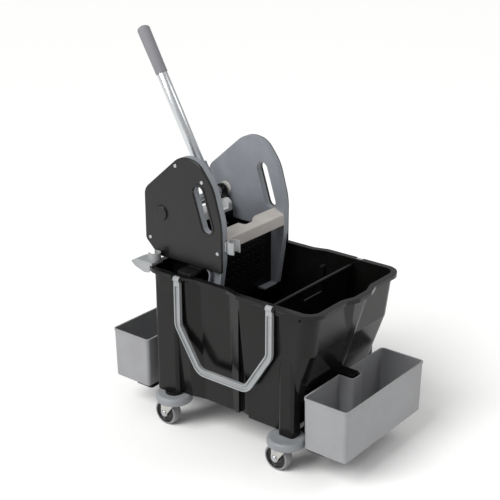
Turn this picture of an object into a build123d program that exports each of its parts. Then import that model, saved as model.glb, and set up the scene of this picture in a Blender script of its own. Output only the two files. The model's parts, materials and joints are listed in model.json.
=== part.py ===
from build123d import *
from math import cos, hypot, radians, sin
import os

# A divided mop bucket on four casters, with a lever wringer, two carrying bails and two side boxes.
# All sizes are in millimetres. X runs along the bucket: the wringer stands at the -X (rear) end and
# the pouring lip is at the +X (front) end. -Y is the near side, +Z is up and the floor is Z = 0.
# Pieces are laid out with X = 0 midway between the two storage boxes. place() then moves them, so
# that the origin of the finished model is on the floor in the middle of its footprint.

# Clearances
FIT_GAP = 0.3        # between pieces that slide or lift past each other
RUN_GAP = 0.05       # radial, between a shaft and the bore that it turns in

# Casters
CASTER_PITCH_X = 315.0
CASTER_TRAIL = 20.0  # swivel axis to wheel axis
WHEEL_DIA = 60.0
WHEEL_WIDTH = 24.0
HUB_DIA = WHEEL_DIA - 10.0
TYRE_R = 4.0         # rounding of the tyre's shoulders
AXLE_DIA = 8.0
KING_PIN_DIA = 12.0
FORK_T = 2.5
FORK_GAP = 1.2       # wheel side to fork leg
CROWN_GAP = 1.6      # wheel top to fork crown
CROWN_T = 3.0
BUMPER_DIA = 84.0
BUMPER_T = 20.0
CASTER_PAD_DIA = 42.0
CASTER_BOSS_DIA = 21.0
CASTER_BOSS_HEIGHT = 40.0
CASTER_PAD_T = 3.0   # height of the pads that stand on the bumpers
BUMPER_SEAT = 0.4    # fork crown to bumper
BUMPER_BOTTOM_Z = WHEEL_DIA + CROWN_GAP + CROWN_T + BUMPER_SEAT
BUMPER_TOP_Z = BUMPER_BOTTOM_Z + BUMPER_T

# Bucket
BUCKET_X = 16.5      # middle of the caster pattern
BUCKET_HEIGHT = 293.0  # underside of the floor to the top of the rim
KNEE_HEIGHT = 192.0  # the front end wall slopes in below this height and is steeper above it
FLOOR_Z = BUMPER_TOP_Z + CASTER_PAD_T
RIM_Z = FLOOR_Z + BUCKET_HEIGHT
KNEE_Z = FLOOR_Z + KNEE_HEIGHT
WALL = 3.5
FLOOR_T = 4.0
CORNER_R = 30.0
REAR_X = -198.0      # outside of the rear wall at the rim
FRONT_X = 243.0      # outside of the front wall at the rim
HALF_WIDE = 158.0    # half width of the front chamber and of the rear corners at the rim
HALF_WAIST = HALF_WIDE - 10.0  # half width beside the wringer at the rim
STEP_REAR_X = -76.0  # where the rear corners narrow to the waist
STEP_FRONT_X = 38.0  # where the waist widens to the front chamber
STEP_LENGTH = 34.0
STEP_R = 16.0
SPOUT_OUT = 11.0     # how far the pouring lip bulges
SPOUT_HALF = 54.0    # half width of the pouring lip
RIM_OUT = 10.0       # overhang of the rim flange
RIM_DROP = 9.0       # height of the rim's skirt
BAND_OUT = 5.0       # second step under the rim, on the sides of the front chamber
BAND_DROP = 19.0
BAND_X0 = FRONT_X - 93.0
BAND_X1 = FRONT_X - 31.0
RIM_T = 3.0
CASTER_Y = HALF_WIDE - 11.0
GROOVE_TOP_Z = RIM_Z - 38.0
COLUMN_DEPTH = 38.0   # corner columns, from the side plane inwards
COLUMN_HALF = 20.0    # half length of a column over its caster
COLUMN_R = 9.0
GROOVE_WIDTH = 30.0  # width of the side groove at the floor
GROOVE_DEPTH = 9.0
DIVIDER_X = 130.0
DIVIDER_T = 4.0
DIVIDER_TOP_Z = RIM_Z - 10.0
GUIDE_DEPTH = 7.0    # ribs that guide the divider
GUIDE_T = 3.0

# Storage boxes
BOX_INNER_X = 216.85  # inner wall of each box, from the middle between them
BOX_DEPTH = 108.3     # along X
BOX_WIDTH = 300.0     # along Y
BOX_TOP_Z = FLOOR_Z + 102.7
BOX_HEIGHT = 119.8
BOX_WALL = 2.5
BOX_DRAFT = 1.7
BOX_CORNER_R = 9.0
BOX_BEAD = 1.2        # bead round the top of a box
BOX_BEAD_HEIGHT = 5.0
NOTCH_WIDTH = 36.0
NOTCH_DEPTH = 34.0
POST_GAP = 4.0        # support post to the notch round it
SHELF_T = 6.0
SHELF_REACH = 50.0    # how far the support shelf runs under a box

# Carrying bails
BAIL_SPAN = 249.0     # between the two pivots of one bail
BAIL_BASE = 130.0     # straight length at the bottom
BAIL_DROP = 202.0     # pivots to the bottom
BAIL_STRAIGHT = 108.0  # upright length of each leg
BAIL_WIDTH = 16.0
BAIL_T = 8.0
BAIL_PIVOT_Z = RIM_Z - 7.0
BAIL_BOSS_R = 6.5
BAIL_PIN_DIA = 6.0
BAIL_EAR_T = 6.5

# Wringer frame
SHAFT_DIA = 16.0
INNER_HALF = HALF_WAIST - 48.0  # half of the gap between the side frames
FRAME_T = 15.0
FRAME_WALL = 4.0
COVER_T = 5.0
COVER_WALL = 2.5
COVER_EDGE_R = 3.0
FRAME_HEIGHT = 237.0
FRAME_REAR_X = -240.0
FRAME_FRONT_X = -22.0
FRAME_BOTTOM_Z = RIM_Z + 11.0
FRAME_TOP_Z = FRAME_BOTTOM_Z + FRAME_HEIGHT
SHAFT_X = FRAME_REAR_X + 49.0
SHAFT_Z = FRAME_BOTTOM_Z + 102.0
ARCH_RADII = [30.0, 55.0, 50.0, 110.0, 150.0]
HEEL_LENGTH = 35.0
HEEL_HEIGHT = 33.0
HEEL_R = 14.0
LEG_LENGTH = 99.0
LEG_BOTTOM_Z = FRAME_BOTTOM_Z - LEG_LENGTH
LEG_FRONT_X = FRAME_FRONT_X - 19.0
LEG_REAR_X = FRAME_FRONT_X - 58.0
FOOT_REACH = 45.0
FOOT_T = 4.0
HAND_SLOT_LENGTH = 106.0
HAND_SLOT_WIDTH = 30.0
HAND_SLOT_X = FRAME_FRONT_X - 51.0
HAND_SLOT_Z = FRAME_TOP_Z - 104.0
HAND_SLOT_TILT = 18.0
BUSH_DIA = SHAFT_DIA + 6.0
BUSH_FLANGE_DIA = BUSH_DIA + 12.0
BUSH_FLANGE_T = 3.0
TIE_DIA = 10.0
TIE_X = FRAME_REAR_X + 22.0
TIE_Z = SHAFT_Z - 26.0
CROSSBAR_FRONT_X = FRAME_FRONT_X
CROSSBAR_BACK_X = CROSSBAR_FRONT_X - 28.0
CROSSBAR_BOTTOM_Z = FRAME_BOTTOM_Z + 48.0
CROSSBAR_FOLD_Z = CROSSBAR_BOTTOM_Z + 26.0
CROSSBAR_BACK_Z = CROSSBAR_FOLD_Z + 12.0
SCOOP_R = 54.0       # radius of the scoop in the crossbar's back edge
SCOOP_DEPTH = 9.0
CROSSBAR_T = 4.0
HOOK_X0 = LEG_REAR_X - 40.0
HOOK_X1 = LEG_REAR_X
HOOK_T = 6.0
SCREW_DIA = 5.0
SCREW_PLACES = [
    (FRAME_REAR_X + 93.0, FRAME_TOP_Z - 20.0),
    (FRAME_FRONT_X - 52.0, FRAME_TOP_Z - 43.0),
    (FRAME_REAR_X + 15.0, FRAME_BOTTOM_Z + 39.0),
    (FRAME_FRONT_X - 11.0, FRAME_BOTTOM_Z + 44.0),
]

# Fixed jaw and press
JAW_WALL = 3.5
JAW_FRONT_X = CROSSBAR_BACK_X - 8.0
JAW_REAR_X = SHAFT_X + 11.0
JAW_TOP_Z = FRAME_BOTTOM_Z + 53.0
JAW_SIDE_TOP_Z = FRAME_BOTTOM_Z + 36.0
PRESS_FRONT_X = SHAFT_X + 29.0
PRESS_DEPTH = 18.0
PRESS_HALF = INNER_HALF - 8.0
PRESS_TOP_Z = SHAFT_Z - 42.0
PRESS_BOTTOM_Z = LEG_BOTTOM_Z + 19.0
PRESS_SKIN = 3.0
ARM_INNER = PRESS_HALF - 9.0
ARM_T = 6.0
HEAD_HEIGHT = 28.0
HOLE_DIA = 7.0
HOLE_PITCH = 18.0
STOP_PIN_DIA = 8.0
SPRING_WIRE = 2.4
SPRING_TURNS = 5

# Lever
LEVER_Y = 52.0
LEVER_TILT = 29.5     # back from upright, at rest
LEVER_TUBE_DIA = 25.0
LEVER_TUBE_WALL = 1.5
LEVER_LENGTH = 411.0  # shaft axis to the end of the grip
LEVER_TUBE_START = 20.0
SOCKET_LENGTH = 74.0
SOCKET_WALL = 4.0
GRIP_LENGTH = 116.0
GRIP_DIA = LEVER_TUBE_DIA + 5.0
GRIP_SWELL = 0.6
GRIP_END_R = 8.0     # rounding of the grip's flat end

# Pole clips
POLE_DIA = 22.0
CLIP_WALL = 3.0
CLIP_HEIGHT = 26.0
REAR_CLIP_HEIGHT = 17.0
CLIP_OPENING = 110.0  # degrees left open
CLIP_Y = 1.0 - INNER_HALF
REAR_CLIP_X = REAR_X - 2.0
REAR_CLIP_Y = 23.0 - HALF_WIDE
BRACKET_TOP_Z = RIM_Z + 7.0

# Values worked out from the sizes above
BAIL_Y = HALF_WIDE + FIT_GAP + BAIL_BOSS_R
FRAME_OUT = INNER_HALF + FRAME_T
COVER_OUT = FRAME_OUT + COVER_T
BOX_BOTTOM_Z = BOX_TOP_Z - BOX_HEIGHT
GRIP_R = GRIP_DIA / 2
LEVER_LEAN = radians(LEVER_TILT)
LEVER_END_X = (SHAFT_X - (LEVER_LENGTH - GRIP_END_R) * sin(LEVER_LEAN)
               - (GRIP_R - GRIP_END_R) * cos(LEVER_LEAN) - GRIP_END_R)
BOX_OUTER_X = BOX_INNER_X + BOX_DEPTH + BOX_BEAD
ORIGIN_X = (LEVER_END_X + BOX_OUTER_X) / 2
CASTERS = {
    "front_near": (BUCKET_X + CASTER_PITCH_X / 2, -CASTER_Y),
    "front_far": (BUCKET_X + CASTER_PITCH_X / 2, CASTER_Y),
    "rear_near": (BUCKET_X - CASTER_PITCH_X / 2, -CASTER_Y),
    "rear_far": (BUCKET_X - CASTER_PITCH_X / 2, CASTER_Y),
}


def place(part):
    """Move a piece from the layout frame to the model's own origin."""
    return Pos(-ORIGIN_X, 0, 0) * part


def span(x0, x1, y0, y1, z0, z1):
    """Box between two corners."""
    middle = Pos((x0 + x1) / 2, (y0 + y1) / 2, (z0 + z1) / 2)
    return middle * Box(x1 - x0, y1 - y0, z1 - z0)


def rod_y(x, z, diameter, y0, y1):
    """Cylinder along Y between two planes."""
    return Pos(x, (y0 + y1) / 2, z) * Rot(90, 0, 0) * Cylinder(diameter / 2, y1 - y0)


def rod_z(x, y, diameter, z0, z1):
    """Cylinder along Z between two heights."""
    return Pos(x, y, (z0 + z1) / 2) * Cylinder(diameter / 2, z1 - z0)


def rod_x(y, z, diameter, x0, x1):
    """Cylinder along X between two planes."""
    return Pos((x0 + x1) / 2, y, z) * Rot(0, 90, 0) * Cylinder(diameter / 2, x1 - x0)


def plate_y(face, y0, y1):
    """Extrude a face drawn in X and Z between two Y planes."""
    return extrude(Plane.XZ.offset(-y1) * face, y1 - y0)


def rounded(points, radii):
    """Closed face through points, with one corner radius for each."""
    return make_face(FilletPolyline(*points, radius=radii, close=True))


def far(part):
    """Mirror a near-side piece to the far side."""
    return mirror(part, about=Plane.XZ)


# ------------------------------------------------------------------ bucket

def bucket_level(z):
    """Plan sizes of the bucket at one height: rear, front, wide, waist, spout and its half widths."""
    rim = (REAR_X, FRONT_X, HALF_WIDE, HALF_WAIST, SPOUT_OUT, SPOUT_HALF, SPOUT_HALF * 0.42)
    knee = (REAR_X + 4, FRONT_X - 11, HALF_WIDE - 4, HALF_WAIST - 4.5, 0.6, 14, 7)
    floor = (REAR_X + 14, FRONT_X - 73, HALF_WIDE - 17, HALF_WAIST - 14, 0.4, 10, 5)
    if z >= KNEE_Z:
        low, high, share = knee, rim, (z - KNEE_Z) / (RIM_Z - KNEE_Z)
    else:
        low, high, share = floor, knee, (z - FLOOR_Z) / (KNEE_Z - FLOOR_Z)
    return [a + (b - a) * share for a, b in zip(low, high)]


def bucket_plan(z, inset, level_z=None):
    """Outline of the bucket at height z, drawn in by inset."""
    sizes = bucket_level(z if level_z is None else level_z)
    rear, front, wide, waist, spout, spout_half, tip_half = sizes
    rear, front = rear + inset, front - inset
    wide, waist = wide - inset, waist - inset
    half_step = STEP_LENGTH / 2
    side = [
        (rear, wide),
        (STEP_REAR_X - half_step, wide),
        (STEP_REAR_X + half_step, waist),
        (STEP_FRONT_X - half_step, waist),
        (STEP_FRONT_X + half_step, wide),
        (front, wide),
        (front, spout_half),
        (front + spout, tip_half),
    ]
    spout_r = 0.5 + spout * 1.6
    radii = [CORNER_R - inset, STEP_R, STEP_R, STEP_R, STEP_R, CORNER_R - inset, spout_r, spout_r]
    points = [(x, -y) for x, y in side] + list(reversed(side))
    face = rounded(points, radii + list(reversed(radii)))
    return Pos(0, 0, z) * face


def bucket_volume(inset, z0, z1):
    """Solid with the bucket's outline, drawn in by inset, between two heights."""
    heights = [z0, KNEE_Z, z1] if z0 < KNEE_Z < z1 else [z0, z1]
    return loft([bucket_plan(z, inset) for z in heights], ruled=True)


def rim_prism(outset, z0, z1):
    """Upright solid with the rim's outline, grown by outset."""
    return extrude(bucket_plan(z0, -outset, RIM_Z), z1 - z0)


def bucket_rim():
    """Flange round the top with a hanging skirt."""
    top = rim_prism(RIM_OUT, RIM_Z - RIM_T, RIM_Z)
    skirt = rim_prism(RIM_OUT, RIM_Z - RIM_DROP, RIM_Z)
    band = rim_prism(BAND_OUT, RIM_Z - BAND_DROP, RIM_Z - RIM_T)
    near = band & span(BAND_X0, BAND_X1, -HALF_WIDE - RIM_OUT, -HALF_WIDE + 2, 0, RIM_Z)
    return top + (skirt - rim_prism(RIM_OUT - RIM_T, RIM_Z - RIM_DROP, RIM_Z)) + near + far(near)


def bail_places():
    """Middle X of each bail pivot."""
    return [BUCKET_X - BAIL_SPAN / 2, BUCKET_X + BAIL_SPAN / 2]


def bail_ears():
    """Near-side ears that hold the bail pins, one on each side of each bail boss."""
    ears = Part()
    inner = BAIL_WIDTH / 2 + FIT_GAP
    for middle in bail_places():
        for sign in (-1, 1):
            x0, x1 = sorted((middle + sign * inner, middle + sign * (inner + BAIL_EAR_T)))
            ears += rod_x(-BAIL_Y, BAIL_PIVOT_Z, 2 * BAIL_BOSS_R, x0, x1)
            ears += span(x0, x1, -BAIL_Y, -HALF_WIDE + 1, BAIL_PIVOT_Z - BAIL_BOSS_R, RIM_Z)
    return ears


def bail_notches():
    """Near-side cuts in the rim flange that the bail bosses turn in."""
    notches = Part()
    half = BAIL_WIDTH / 2 + FIT_GAP
    for middle in bail_places():
        notches += span(middle - half, middle + half, -BAIL_Y - 20, -HALF_WIDE - 0.05, RIM_Z - 26, RIM_Z + 1)
        notches += rod_x(-BAIL_Y, BAIL_PIVOT_Z, BAIL_PIN_DIA, middle - half - 30, middle + half + 30)
    return notches


def corner_column(name, x0, x1, y0, top_z):
    """Near-side leg of the bucket, a hollow column that stands on the named caster's bumper."""
    x, y = CASTERS[name]
    y1 = -HALF_WIDE + COLUMN_DEPTH
    outer = fillet(span(x0, x1, y0, y1, BUMPER_TOP_Z, top_z).edges().filter_by(Axis.Z), COLUMN_R)
    pocket = span(x0 + WALL, x1 - WALL, y0 + WALL, y1, BUMPER_TOP_Z, top_z - WALL)
    boss = rod_z(x, y, CASTER_BOSS_DIA, BUMPER_TOP_Z, FLOOR_Z + CASTER_BOSS_HEIGHT) & outer
    return outer - pocket + boss


def corner_columns():
    """Near-side rear column, which reaches the rim, and the short front one under the slope."""
    rear_x, front_x = CASTERS["rear_near"][0], CASTERS["front_near"][0]
    rear = corner_column("rear_near", REAR_X + 13, rear_x + COLUMN_HALF, -HALF_WIDE + 2, RIM_Z - RIM_DROP)
    front = corner_column("front_near", front_x - COLUMN_HALF, front_x + COLUMN_HALF, -HALF_WIDE + 5, KNEE_Z)
    return rear + front


def caster_pad():
    """Round pad under the near rear corner, beside the column."""
    x, y = CASTERS["rear_near"]
    return rod_z(x, y, CASTER_PAD_DIA, BUMPER_TOP_Z, FLOOR_Z + FLOOR_T)


def groove_prism(extra):
    """Near-side tapered prism of the side groove, widened by extra on each side."""
    half = GROOVE_WIDTH / 2
    middle = STEP_FRONT_X + half
    points = [(middle - half - extra, FLOOR_Z - 1), (middle + half + extra, FLOOR_Z - 1)]
    points += [(middle + extra + 1, GROOVE_TOP_Z + extra), (middle - extra - 1, GROOVE_TOP_Z + extra)]
    return plate_y(make_face(Polyline(*points, close=True)), -HALF_WIDE - 5, -INNER_HALF)


def divider_guides():
    """Pairs of upright ribs on both side walls, with the divider's slot between them."""
    band = bucket_volume(WALL - 0.2, FLOOR_Z + 1, DIVIDER_TOP_Z - 6)
    band -= bucket_volume(WALL + GUIDE_DEPTH, FLOOR_Z + 1, DIVIDER_TOP_Z - 6)
    guides = Part()
    for sign in (-1, 1):
        inner = DIVIDER_X + sign * (DIVIDER_T / 2 + FIT_GAP)
        x0, x1 = sorted((inner, inner + sign * GUIDE_T))
        guides += band & span(x0, x1, -HALF_WIDE, HALF_WIDE, FLOOR_Z, RIM_Z)
    return guides


def bucket_body():
    """The moulded bucket with its rim, columns, grooves and divider guides."""
    near = bail_ears() + corner_columns() + caster_pad()
    body = bucket_volume(0, FLOOR_Z, RIM_Z) + bucket_rim() + near + far(near)
    body -= bucket_volume(WALL, FLOOR_Z + FLOOR_T, RIM_Z + 1)
    notch = bail_notches()
    body -= notch + far(notch)
    back = bucket_volume(WALL / 2, FLOOR_Z + FLOOR_T / 2, RIM_Z - RIM_DROP)
    back -= bucket_volume(GROOVE_DEPTH + WALL, FLOOR_Z, RIM_Z - RIM_DROP)
    ribs = groove_prism(WALL) & back
    cut = groove_prism(0) - bucket_volume(GROOVE_DEPTH, FLOOR_Z - 2, RIM_Z - RIM_DROP)
    body = body + ribs + far(ribs) + divider_guides()
    return body - (cut + far(cut))


def divider():
    """Lift-out partition between the two chambers."""
    blank = bucket_volume(WALL + FIT_GAP + 0.1, FLOOR_Z + FLOOR_T + FIT_GAP, DIVIDER_TOP_Z)
    plate = blank & span(DIVIDER_X - DIVIDER_T / 2, DIVIDER_X + DIVIDER_T / 2, -200, 200, 0, RIM_Z)
    half = bucket_level(DIVIDER_TOP_Z)[2] - WALL - GUIDE_DEPTH - 2
    bead = span(DIVIDER_X - 4, DIVIDER_X + 4, -half, half, DIVIDER_TOP_Z - 8, DIVIDER_TOP_Z)
    grip = span(DIVIDER_X - 10, DIVIDER_X + 10, -34, 34, DIVIDER_TOP_Z - 28, DIVIDER_TOP_Z - 8)
    return plate + fillet(bead.edges().filter_by(Axis.Y), 2) - grip


# ------------------------------------------------------------------ casters

def caster_bumper(x, y):
    """Rounded ring over a caster, with the bore that its king pin turns in."""
    ring = fillet(rod_z(x, y, BUMPER_DIA, BUMPER_BOTTOM_Z, BUMPER_TOP_Z).edges(), 7)
    recess = rod_z(x, y, BUMPER_DIA - 16, BUMPER_BOTTOM_Z, BUMPER_TOP_Z - 8)
    recess -= rod_z(x, y, KING_PIN_DIA + 16, BUMPER_BOTTOM_Z, BUMPER_TOP_Z)
    bore = rod_z(x, y, KING_PIN_DIA + 2 * RUN_GAP, BUMPER_BOTTOM_Z, BUMPER_TOP_Z - 2)
    return ring - recess - bore


def king_pin(x, y):
    """Upright pin that carries the fork."""
    crown_z = WHEEL_DIA + CROWN_GAP
    return rod_z(x, y, KING_PIN_DIA, crown_z + CROWN_T, BUMPER_TOP_Z - 2 - FIT_GAP)


def caster_fork(x, y):
    """Pressed fork: a crown plate under the bumper and two legs down to the axle."""
    crown_z = WHEEL_DIA + CROWN_GAP
    half = WHEEL_WIDTH / 2 + FORK_GAP
    crown = span(x - 30, x + 17, y - half - FORK_T, y + half + FORK_T, crown_z, crown_z + CROWN_T)
    crown = fillet(crown.edges().filter_by(Axis.Z), 8)
    axle_x, axle_z = x - CASTER_TRAIL, WHEEL_DIA / 2
    outline = [(x - 28, crown_z + 1), (x + 13, crown_z + 1), (axle_x + 9, axle_z), (axle_x - 9, axle_z)]
    web = make_face(Polyline(*outline, close=True))
    fork = crown
    for y0 in (y - half - FORK_T, y + half):
        fork += plate_y(web, y0, y0 + FORK_T) + rod_y(axle_x, axle_z, 18, y0, y0 + FORK_T)
    return fork - rod_y(axle_x, axle_z, AXLE_DIA, y - 40, y + 40)


def caster_axle(x, y):
    """Axle bolt with its head and nut."""
    axle_x, axle_z = x - CASTER_TRAIL, WHEEL_DIA / 2
    half = WHEEL_WIDTH / 2 + FORK_GAP + FORK_T
    bolt = rod_y(axle_x, axle_z, AXLE_DIA, y - half, y + half)
    head = fillet(rod_y(axle_x, axle_z, 14, y - half - 4, y - half).faces().sort_by(Axis.Y)[0].edges(), 1.5)
    nut = Pos(axle_x, y + half + 2.5, axle_z) * Rot(90, 0, 0) * extrude(RegularPolygon(7, 6), 2.5, both=True)
    return bolt + head + nut


def wheel_hub(x, y):
    """Moulded wheel centre with a ring groove in each side."""
    axle_x, axle_z = x - CASTER_TRAIL, WHEEL_DIA / 2
    half = WHEEL_WIDTH / 2
    hub = rod_y(axle_x, axle_z, HUB_DIA, y - half, y + half)
    for y0, y1 in ((y - half, y - half + 3), (y + half - 3, y + half)):
        groove = rod_y(axle_x, axle_z, HUB_DIA - 8, y0, y1) - rod_y(axle_x, axle_z, HUB_DIA - 18, y0, y1)
        hub -= groove
    return hub - rod_y(axle_x, axle_z, AXLE_DIA + 2 * RUN_GAP, y - half, y + half)


def wheel_tyre(x, y):
    """Rubber tyre on the hub."""
    axle_x, axle_z = x - CASTER_TRAIL, WHEEL_DIA / 2
    half = WHEEL_WIDTH / 2
    tyre = fillet(rod_y(axle_x, axle_z, WHEEL_DIA, y - half, y + half).edges(), TYRE_R)
    return tyre - rod_y(axle_x, axle_z, HUB_DIA, y - half, y + half)


# ------------------------------------------------------------------ storage boxes

def box_plan(z, inset):
    """Rounded rectangle of a storage box at one height."""
    shrink = 2 * (BOX_DRAFT * (BOX_TOP_Z - z) / BOX_HEIGHT + inset)
    middle = Pos(BOX_INNER_X + BOX_DEPTH / 2, 0, z)
    return middle * RectangleRounded(BOX_DEPTH - shrink, BOX_WIDTH - shrink, BOX_CORNER_R - inset)


def notch_prism(grow, z0, z1):
    """Upright notch in the middle of a box's inner wall."""
    half = NOTCH_WIDTH / 2 + grow
    block = span(BOX_INNER_X - 10, BOX_INNER_X + NOTCH_DEPTH + grow, -half, half, z0, z1)
    ends = block.edges().filter_by(Axis.Z).sort_by(Axis.X)[-2:]
    return fillet(ends, 8 + grow)


def storage_box():
    """Open box with a bead round its top and a notch for the support post."""
    outer = loft([box_plan(BOX_BOTTOM_Z, 0), box_plan(BOX_TOP_Z, 0)])
    bead = extrude(box_plan(BOX_TOP_Z, -BOX_BEAD), -BOX_BEAD_HEIGHT)
    inner = loft([box_plan(BOX_BOTTOM_Z + BOX_WALL, BOX_WALL), box_plan(BOX_TOP_Z + 1, BOX_WALL)])
    inner -= notch_prism(BOX_WALL, BOX_BOTTOM_Z - 1, BOX_TOP_Z + 2)
    box = fillet(outer.faces().sort_by(Axis.Z)[0].edges(), 4) + bead
    return box - notch_prism(0, BOX_BOTTOM_Z - 1, BOX_TOP_Z + 2) - inner


def box_support(wall_x_low, wall_x_high):
    """Bracket that carries a box: a shelf under it, a post in its notch and a web to the bucket."""
    shelf_top = BOX_BOTTOM_Z - FIT_GAP
    shelf_z = shelf_top - SHELF_T
    clear_x = BUCKET_X + CASTER_PITCH_X / 2 + BUMPER_DIA / 2 + 2
    shelf = span(max(clear_x, BOX_INNER_X), BOX_INNER_X + SHELF_REACH, -140, 140, shelf_z, shelf_top)
    shelf = fillet(shelf.edges().filter_by(Axis.Z), 6)
    tongue = span(wall_x_low - 6, BOX_INNER_X + SHELF_REACH / 2, -88, 88, shelf_z, shelf_top)
    half = NOTCH_WIDTH / 2 - POST_GAP
    post_x0, post_x1 = BOX_INNER_X, BOX_INNER_X + NOTCH_DEPTH - POST_GAP
    post = span(post_x0 - 4, post_x1, -half, half, shelf_top, BOX_TOP_Z + 4)
    post = fillet(post.edges().filter_by(Axis.Z).sort_by(Axis.X)[-2:], 6)
    post -= span(post_x0 + 3, post_x1 - 3, -half + 3, half - 3, shelf_top, BOX_TOP_Z)
    web = span(wall_x_low - 6, post_x0 - 0.5, -half, half, shelf_top, BOX_TOP_Z + 4)
    back = span(wall_x_low - 6, wall_x_high + 4, -70, 70, shelf_z, shelf_z + 34)
    return shelf + tongue + post + web + back


def front_support():
    """Support of the front box, shaped to the sloping front wall."""
    low, high = bucket_level(FLOOR_Z)[1], bucket_level(BOX_TOP_Z)[1]
    bracket = box_support(low, low) - bucket_volume(0, FLOOR_Z, RIM_Z)
    pocket = span(0, high + 2, -200, 200, FLOOR_Z, BOX_TOP_Z + 20)
    keep = bracket - pocket
    rib = bracket & span(low - 8, high + 2.5, -NOTCH_WIDTH / 2 + POST_GAP, NOTCH_WIDTH / 2 - POST_GAP, 0, 400)
    lug = bracket & span(low - 8, high + 2.5, -88, 88, 0, FLOOR_Z + 1)
    return keep + rib + lug


def rear_support():
    """Support of the rear box, a mirror of the front one fitted to the rear wall."""
    low = -bucket_level(FLOOR_Z)[0]
    bracket = mirror(box_support(low, low), about=Plane.YZ)
    return bracket - bucket_volume(0, FLOOR_Z, RIM_Z)


# ------------------------------------------------------------------ bails

def bail_path(offset):
    """Centre line of a bail, moved in Y by offset from the pivot plane."""
    x0, x1 = bail_places()
    base = (BAIL_SPAN - BAIL_BASE) / 2
    knee_z, base_z = BAIL_PIVOT_Z - BAIL_STRAIGHT, BAIL_PIVOT_Z - BAIL_DROP
    y = -BAIL_Y + offset
    points = [(x0, y, BAIL_PIVOT_Z), (x0, y, knee_z), (x0 + base, y, base_z)]
    points += [(x1 - base, y, base_z), (x1, y, knee_z), (x1, y, BAIL_PIVOT_Z)]
    return FilletPolyline(*points, radius=26)


def near_bail():
    """Channel-section carrying handle with a bored boss at each end."""
    path = bail_path(0)
    section = Plane(path @ 0, x_dir=(1, 0, 0), z_dir=(0, 0, -1)) * Rectangle(BAIL_WIDTH, BAIL_T)
    bail = sweep(section, path)
    groove = bail_path(-BAIL_T / 2)
    mouth = Plane(groove @ 0, x_dir=(1, 0, 0), z_dir=(0, 0, -1)) * Rectangle(BAIL_WIDTH - 6, 7)
    top = span(-400, 400, -300, 0, BAIL_PIVOT_Z - 16, BAIL_PIVOT_Z + 20)
    bail -= sweep(mouth, groove) - top
    for middle in bail_places():
        bail += rod_x(-BAIL_Y, BAIL_PIVOT_Z, 2 * BAIL_BOSS_R, middle - BAIL_WIDTH / 2, middle + BAIL_WIDTH / 2)
    for middle in bail_places():
        bail -= rod_x(-BAIL_Y, BAIL_PIVOT_Z, BAIL_PIN_DIA + 2 * RUN_GAP, middle - 20, middle + 20)
    return bail


def near_bail_pins():
    """The two pins of a bail, pressed into the ears."""
    pins = []
    reach = BAIL_WIDTH / 2 + FIT_GAP + BAIL_EAR_T
    for middle in bail_places():
        pins.append(rod_x(-BAIL_Y, BAIL_PIVOT_Z, BAIL_PIN_DIA, middle - reach, middle + reach))
    return Part() + pins


# ------------------------------------------------------------------ wringer frame

def heel_corners():
    """Corners of the slanted rear end of a side plate's bottom edge, front one first."""
    return [(FRAME_REAR_X + HEEL_LENGTH, FRAME_BOTTOM_Z), (FRAME_REAR_X, FRAME_BOTTOM_Z + HEEL_HEIGHT)]


def arch_corners():
    """Corners of the arch of a side plate, from the rear to the front."""
    return [
        (FRAME_REAR_X, FRAME_TOP_Z - 88),
        (FRAME_REAR_X + 107, FRAME_TOP_Z + 5),
        (FRAME_FRONT_X - 61, FRAME_TOP_Z - 1),
        (FRAME_FRONT_X - 23, FRAME_TOP_Z - 49),
        (FRAME_FRONT_X, FRAME_TOP_Z - 129),
    ]


def cover_face():
    """Arched outline of a side cover."""
    heel, toe = heel_corners(), (FRAME_FRONT_X, FRAME_BOTTOM_Z)
    return rounded([heel[1]] + arch_corners() + [toe, heel[0]], [HEEL_R] + ARCH_RADII + [4, HEEL_R])


def frame_face():
    """Outline of a side frame: the cover's arch with a leg down into the bucket."""
    heel = heel_corners()
    leg = [
        (FRAME_FRONT_X, FRAME_BOTTOM_Z + 30),
        (LEG_FRONT_X, LEG_BOTTOM_Z),
        (LEG_REAR_X, LEG_BOTTOM_Z),
        (LEG_REAR_X + 22, FRAME_BOTTOM_Z),
    ]
    radii = [HEEL_R] + ARCH_RADII + [60, 5, 5, 14, HEEL_R]
    return rounded([heel[1]] + arch_corners() + leg + [heel[0]], radii)


def hand_slot(grow):
    """Slanted hand slot in the side plates, grown all round by grow."""
    length = HAND_SLOT_LENGTH + 2 * grow
    slot = SlotOverall(length, HAND_SLOT_WIDTH + 2 * grow)
    return Pos(HAND_SLOT_X, HAND_SLOT_Z) * Rot(0, 0, 90 + HAND_SLOT_TILT) * slot


def near_side_frame():
    """Grey side frame: a tray open to the outside, with a leg, a foot and bosses."""
    y0, y1 = -FRAME_OUT, -INNER_HALF
    frame = plate_y(frame_face(), y0, y1)
    tray = plate_y(offset(frame_face(), -FRAME_WALL), y0, y1 - FRAME_WALL)
    tray -= plate_y(hand_slot(3), y0, y1)
    tray -= rod_y(SHAFT_X, SHAFT_Z, BUSH_DIA + 10, y0, y1)
    for x, z in SCREW_PLACES + [(TIE_X, TIE_Z)]:
        tray -= rod_y(x, z, TIE_DIA + 6, y0, y1)
    frame -= tray
    foot = span(LEG_REAR_X, LEG_FRONT_X, y1 - 1, y1 + FOOT_REACH, LEG_BOTTOM_Z, LEG_BOTTOM_Z + FOOT_T)
    foot = fillet(foot.edges().filter_by(Axis.Z).sort_by(Axis.Y)[-2:], 6)
    frame += foot
    frame -= plate_y(hand_slot(0), y0 - 1, y1 + 1)
    frame -= rod_y(SHAFT_X, SHAFT_Z, BUSH_DIA, y0, y1)
    frame -= rod_y(TIE_X, TIE_Z, TIE_DIA, y0 + 4, y1)
    for x, z in SCREW_PLACES:
        frame -= rod_y(x, z, SCREW_DIA + 2 * RUN_GAP, y0, y1 - 2)
    return frame


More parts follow.
